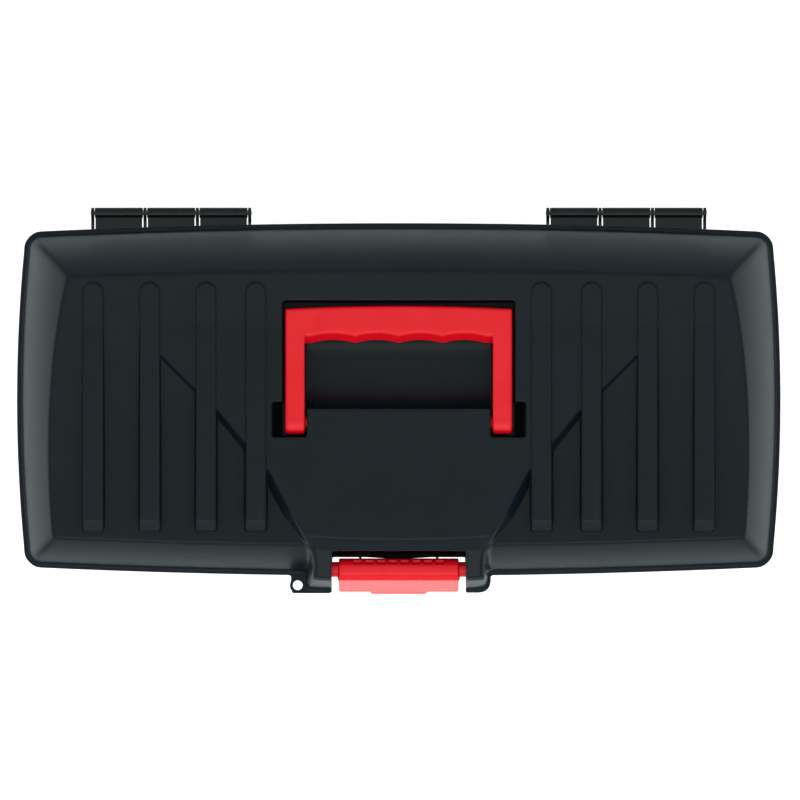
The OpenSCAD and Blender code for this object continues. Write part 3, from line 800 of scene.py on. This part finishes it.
def moulded_plastic(name, light, dark, rough, grain_deep_mm, coat=0.0):
    """Moulded polypropylene: satin, with spark grain, faint flow marks and patches rubbed by hands.

    The grain of a spark-eroded mould is 0.1 to 0.3 mm wide, too fine to show from where the whole box
    is in view, so it is drawn coarser, 0.9 mm wide. Flow marks are about 90 mm long, and rubbed
    patches about 14 mm across.
    """
    material = bpy.data.materials.new(name)
    material.use_nodes = True
    tree = material.node_tree
    shader = tree.nodes["Principled BSDF"]
    shader.inputs["IOR"].default_value = 1.49
    shader.inputs["Coat Weight"].default_value = coat
    place = node(tree, "ShaderNodeTexCoord").outputs["Object"]
    flow = node(tree, "ShaderNodeTexNoise", {"Vector": place, "Scale": 1 / (FLOW_MM * MM), "Detail": 3.0,
                                             "Roughness": 0.6})
    patch = node(tree, "ShaderNodeTexNoise", {"Vector": place, "Scale": 1 / (PATCH_MM * MM), "Detail": 4.0,
                                              "Roughness": 0.65})
    grain = node(tree, "ShaderNodeTexNoise", {"Vector": place, "Scale": 1 / (GRAIN_MM * MM), "Detail": 3.0,
                                              "Roughness": 0.55})
    blend = node(tree, "ShaderNodeMath", {0: flow.outputs["Fac"], 1: patch.outputs["Fac"]},
                 operation="MULTIPLY")
    share = node(tree, "ShaderNodeMapRange", {"Value": blend.outputs[0], "From Min": 0.12, "From Max": 0.42})
    colour = node(tree, "ShaderNodeMix", {0: share.outputs["Result"], 6: linear(dark), 7: linear(light)},
                  data_type="RGBA")
    finish = node(tree, "ShaderNodeMapRange", {"Value": patch.outputs["Fac"], "From Min": 0.3,
                                               "From Max": 0.7, "To Min": rough - 0.03,
                                               "To Max": rough + 0.03})
    bump = node(tree, "ShaderNodeBump", {"Height": grain.outputs["Fac"], "Distance": grain_deep_mm * MM,
                                         "Strength": 1.0})
    tree.links.new(colour.outputs[2], shader.inputs["Base Color"])
    tree.links.new(finish.outputs["Result"], shader.inputs["Roughness"])
    tree.links.new(bump.outputs["Normal"], shader.inputs["Normal"])
    return material


def drawn_steel(name):
    """Drawn steel wire: bright and hard, with draw lines that run along it.

    Draw lines are some hundredths of a millimetre apart. They are drawn 0.4 mm apart so that they show.
    """
    material = bpy.data.materials.new(name)
    material.use_nodes = True
    tree = material.node_tree
    shader = tree.nodes["Principled BSDF"]
    shader.inputs["Metallic"].default_value = 1.0
    place = node(tree, "ShaderNodeTexCoord").outputs["Object"]
    along = node(tree, "ShaderNodeMapping", {"Vector": place, "Scale": (40.0, 2500.0, 2500.0)})
    lines = node(tree, "ShaderNodeTexNoise", {"Vector": along.outputs["Vector"], "Scale": 1.0, "Detail": 2.0})
    colour = node(tree, "ShaderNodeMix", {0: lines.outputs["Fac"], 6: linear("#83868a"),
                                          7: linear("#b4b7ba")}, data_type="RGBA")
    finish = node(tree, "ShaderNodeMapRange", {"Value": lines.outputs["Fac"], "To Min": 0.25, "To Max": 0.45})
    bump = node(tree, "ShaderNodeBump", {"Height": lines.outputs["Fac"], "Distance": 0.01 * MM})
    tree.links.new(colour.outputs[2], shader.inputs["Base Color"])
    tree.links.new(finish.outputs["Result"], shader.inputs["Roughness"])
    tree.links.new(bump.outputs["Normal"], shader.inputs["Normal"])
    return material


# Blue-black lid: soft long gradients over its curves, no sharp highlight
LID_PLASTIC = moulded_plastic("blue_black_polypropylene", "#0e1d25", "#0b1a21", 0.36, 0.03)
# Black tub, from a coarser mould: duller and more even than the lid
TUB_PLASTIC = moulded_plastic("black_polypropylene", "#0e1419", "#0b1015", 0.42, 0.04)
# Grey-black tray, straight from a plain mould: the dullest of the three
TRAY_PLASTIC = moulded_plastic("grey_black_polypropylene", "#22272b", "#1b1f23", 0.45, 0.03)
# Pigmented red from a polished mould: strong even colour, with pale lines along its edges
RED_PLASTIC = moulded_plastic("red_polypropylene", "#f00b20", "#ea081c", 0.24, 0.015)
# Hinge parts, worn smooth by turning: nearly black, with bright lines along the barrels
POLISHED_PLASTIC = moulded_plastic("polished_black_polypropylene", "#080f15", "#060c11", 0.24, 0.01, coat=1.0)
PIN_STEEL = drawn_steel("drawn_steel_wire")


# ---------------------------------------------------------------- the object


def fit_out(piece, material, body, slot, *nodes):
    """Gives a piece its finish, its body and the nodes that it stands for."""
    piece.data.materials.clear()
    piece.data.materials.append(material)
    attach(piece, body)
    if nodes:
        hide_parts(*nodes)
    return piece


def make_lid():
    """Shell of the lid, and the knuckles that turn on the pins."""
    shell = field_piece("lid_shell", lid_field, LID_LOW, LID_HIGH, LARGE_STEP, LARGE_FACES)
    fit_out(shell, LID_PLASTIC, "lid", "lid_moulding", "lid")
    for side, x in (("left", -HINGE_X), ("right", HINGE_X)):
        knuckles = bmesh_piece(f"lid_knuckles_{side}", knuckle_build(x), 0.35)
        fit_out(knuckles, POLISHED_PLASTIC, "lid", "lid_moulding")
        knuckles.visible_glossy = False      # keeps a black bar out of the gloss of the lid's rear side


def make_tub():
    """Shell of the tub, and the ears that hold the steel pins."""
    shell = field_piece("tub_shell", tub_field, TUB_LOW, TUB_HIGH, TUB_STEP, LARGE_FACES)
    fit_out(shell, TUB_PLASTIC, "tub", "black_moulding", "tub")
    for side, x in (("left", -HINGE_X), ("right", HINGE_X)):
        ears = bmesh_piece(f"hinge_ears_{side}", ear_build(x), 0.3)
        fit_out(ears, POLISHED_PLASTIC, "tub", "black_moulding")
        ears.visible_glossy = False          # for the same reason
        low, high = node_box(f"hinge_pin_{side}")
        pin = bmesh_piece(f"pin_{side}", hinge_pin_rings(low[0], high[0]))
        fit_out(pin, PIN_STEEL, "tub", "pin_steel", f"hinge_pin_{side}")


def make_tray():
    """Lift-out tray and its four loose dividers."""
    pan = field_piece("tray_pan", tray_field, TRAY_LOW, TRAY_HIGH, LARGE_STEP, LARGE_FACES)
    fit_out(pan, TRAY_PLASTIC, "tray", "tray_moulding", "tray")
    for i in range(1, 5):
        node_name = f"tray_divider_{i}"
        plate = bmesh_piece(f"divider_plate_{i}", divider_build(node_name), 0.5)
        fit_out(plate, TRAY_PLASTIC, "tray", "tray_moulding", node_name)


def make_handle():
    """Folding handle."""
    grip = field_piece("folding_handle", handle_field, HANDLE_LOW, HANDLE_HIGH, HANDLE_STEP, SMALL_FACES)
    fit_out(grip, RED_PLASTIC, "handle", "red_moulding", "carry_handle")


def make_latch():
    """Front latch."""
    body = field_piece("front_latch", latch_field, LATCH_LOW, LATCH_HIGH, LATCH_STEP, SMALL_FACES)
    fit_out(body, RED_PLASTIC, "latch", "red_moulding", "latch")


make_lid()
make_tub()
make_tray()
make_handle()
make_latch()


# ---------------------------------------------------------------- stage, light and camera

MATT_LIGHT = 0.41         # what the dome gives to matt colour, level with the horizon
TOP_GLOW = 0.975          # how much more from straight above
FRONT_GLOW = 0.45         # and from the front
LOW_LIGHT = 0.3           # and no less than this from anywhere
FRONT_BOX = (0.0, -0.682, 0.731)      # way to a small softbox, high in front
FRONT_BOX_GLOW = 0.9
SIDE_GLOW = 0.55          # how much brighter the gloss is at left and right, near the horizon
# What gloss sees of the dome: share of the way from straight below to straight above, and brightness
GLOSS_LIGHT = [(0.03, 0.75), (0.09, 1.60), (0.17, 0.42), (0.28, 0.25), (0.55, 0.29), (0.63, 0.16),
               (0.87, 0.16), (0.95, 0.30)]
FLOOR_HALF = 30.0         # metres
VIEW_W = 0.479            # metres across the view
VIEW_X = 0.00075          # and its middle


def make_floor():
    """Plain pale floor: one large sheet of white paper, lit so that it stays white."""
    made = bmesh.new()
    square = ((-1, -1), (1, -1), (1, 1), (-1, 1))
    corners = [made.verts.new((u * FLOOR_HALF, v * FLOOR_HALF, 0.0)) for u, v in square]
    made.faces.new(corners)
    mesh = bpy.data.meshes.new("floor")
    made.to_mesh(mesh)
    made.free()
    floor = bpy.data.objects.new("floor", mesh)
    bpy.context.scene.collection.objects.link(floor)
    material = bpy.data.materials.new("white_paper_sweep")
    material.use_nodes = True
    shader = material.node_tree.nodes["Principled BSDF"]
    shader.inputs["Base Color"].default_value = linear("#f2f2f2")
    shader.inputs["Roughness"].default_value = 0.9
    shader.inputs["Specular IOR Level"].default_value = 0.0
    shader.inputs["Emission Color"].default_value = linear("#ffffff")
    shader.inputs["Emission Strength"].default_value = 0.7
    mesh.materials.append(material)
    floor.visible_glossy = False


def make_light():
    """A soft studio dome. Matt colour gets a plain fall from top and front, gloss the lamps' pattern."""
    world = bpy.data.worlds.new("studio")
    world.use_nodes = True
    world.cycles.sampling_method = "NONE"
    tree = world.node_tree
    background = tree.nodes["Background"]
    background.inputs["Color"].default_value = linear("#f4fbf8")
    towards = node(tree, "ShaderNodeTexCoord").outputs["Generated"]
    parts = node(tree, "ShaderNodeSeparateXYZ", {"Vector": towards}).outputs
    height = node(tree, "ShaderNodeMapRange", {"Value": parts["Z"], "From Min": -1.0}).outputs["Result"]
    dome_light = node(tree, "ShaderNodeValToRGB", {"Fac": height})
    ramp = dome_light.color_ramp
    for share, grey in GLOSS_LIGHT:
        stop = ramp.elements.new(share)
        stop.color = (grey, grey, grey, 1.0)
    ramp.elements.remove(ramp.elements[-1])      # the two stops that a new ramp comes with
    ramp.elements.remove(ramp.elements[0])
    side = node(tree, "ShaderNodeMath", {0: parts["X"]}, operation="ABSOLUTE").outputs[0]
    side = node(tree, "ShaderNodeMapRange", {"Value": side, "From Min": 0.5, "From Max": 0.85,
                                             "To Max": SIDE_GLOW}).outputs["Result"]
    low = node(tree, "ShaderNodeMapRange", {"Value": parts["Z"], "From Min": 0.05, "From Max": 0.4,
                                            "To Min": 1.0, "To Max": 0.0}).outputs["Result"]
    gloss = node(tree, "ShaderNodeMath", {0: side, 1: low, 2: dome_light.outputs["Color"]},
                 operation="MULTIPLY_ADD").outputs[0]
    facing = node(tree, "ShaderNodeVectorMath", {0: towards, 1: FRONT_BOX}, operation="DOT_PRODUCT")
    front_box = node(tree, "ShaderNodeMapRange", {"Value": facing.outputs["Value"], "From Min": 0.955,
                                                  "From Max": 0.99, "To Max": FRONT_BOX_GLOW})
    gloss = node(tree, "ShaderNodeMath", {0: gloss, 1: front_box.outputs["Result"]},
                 operation="ADD").outputs[0]
    matt = node(tree, "ShaderNodeMath", {0: parts["Y"], 1: -FRONT_GLOW, 2: MATT_LIGHT},
                operation="MULTIPLY_ADD").outputs[0]
    matt = node(tree, "ShaderNodeMath", {0: parts["Z"], 1: TOP_GLOW, 2: matt},
                operation="MULTIPLY_ADD").outputs[0]
    matt = node(tree, "ShaderNodeMath", {0: matt, 1: LOW_LIGHT}, operation="MAXIMUM").outputs[0]
    ray = node(tree, "ShaderNodeLightPath")
    strength = node(tree, "ShaderNodeMix", {0: ray.outputs["Is Glossy Ray"], 2: matt, 3: gloss})
    tree.links.new(strength.outputs[0], background.inputs["Strength"])
    bpy.context.scene.world = world


def make_camera():
    """Straight above the object, far off with a long lens."""
    camera = bpy.data.cameras.new("camera")
    camera.lens = 1000.0
    camera.sensor_width = 36.0
    away = VIEW_W * camera.lens / camera.sensor_width
    camera.clip_end = away * 3
    holder = bpy.data.objects.new("camera", camera)
    holder.location = (VIEW_X, 0.0, FLANGE_Z * MM + away)
    bpy.context.scene.collection.objects.link(holder)
    bpy.context.scene.camera = holder


make_floor()
make_light()
make_camera()
bpy.context.scene.view_settings.view_transform = "Standard"
bpy.context.scene.view_settings.look = "None"
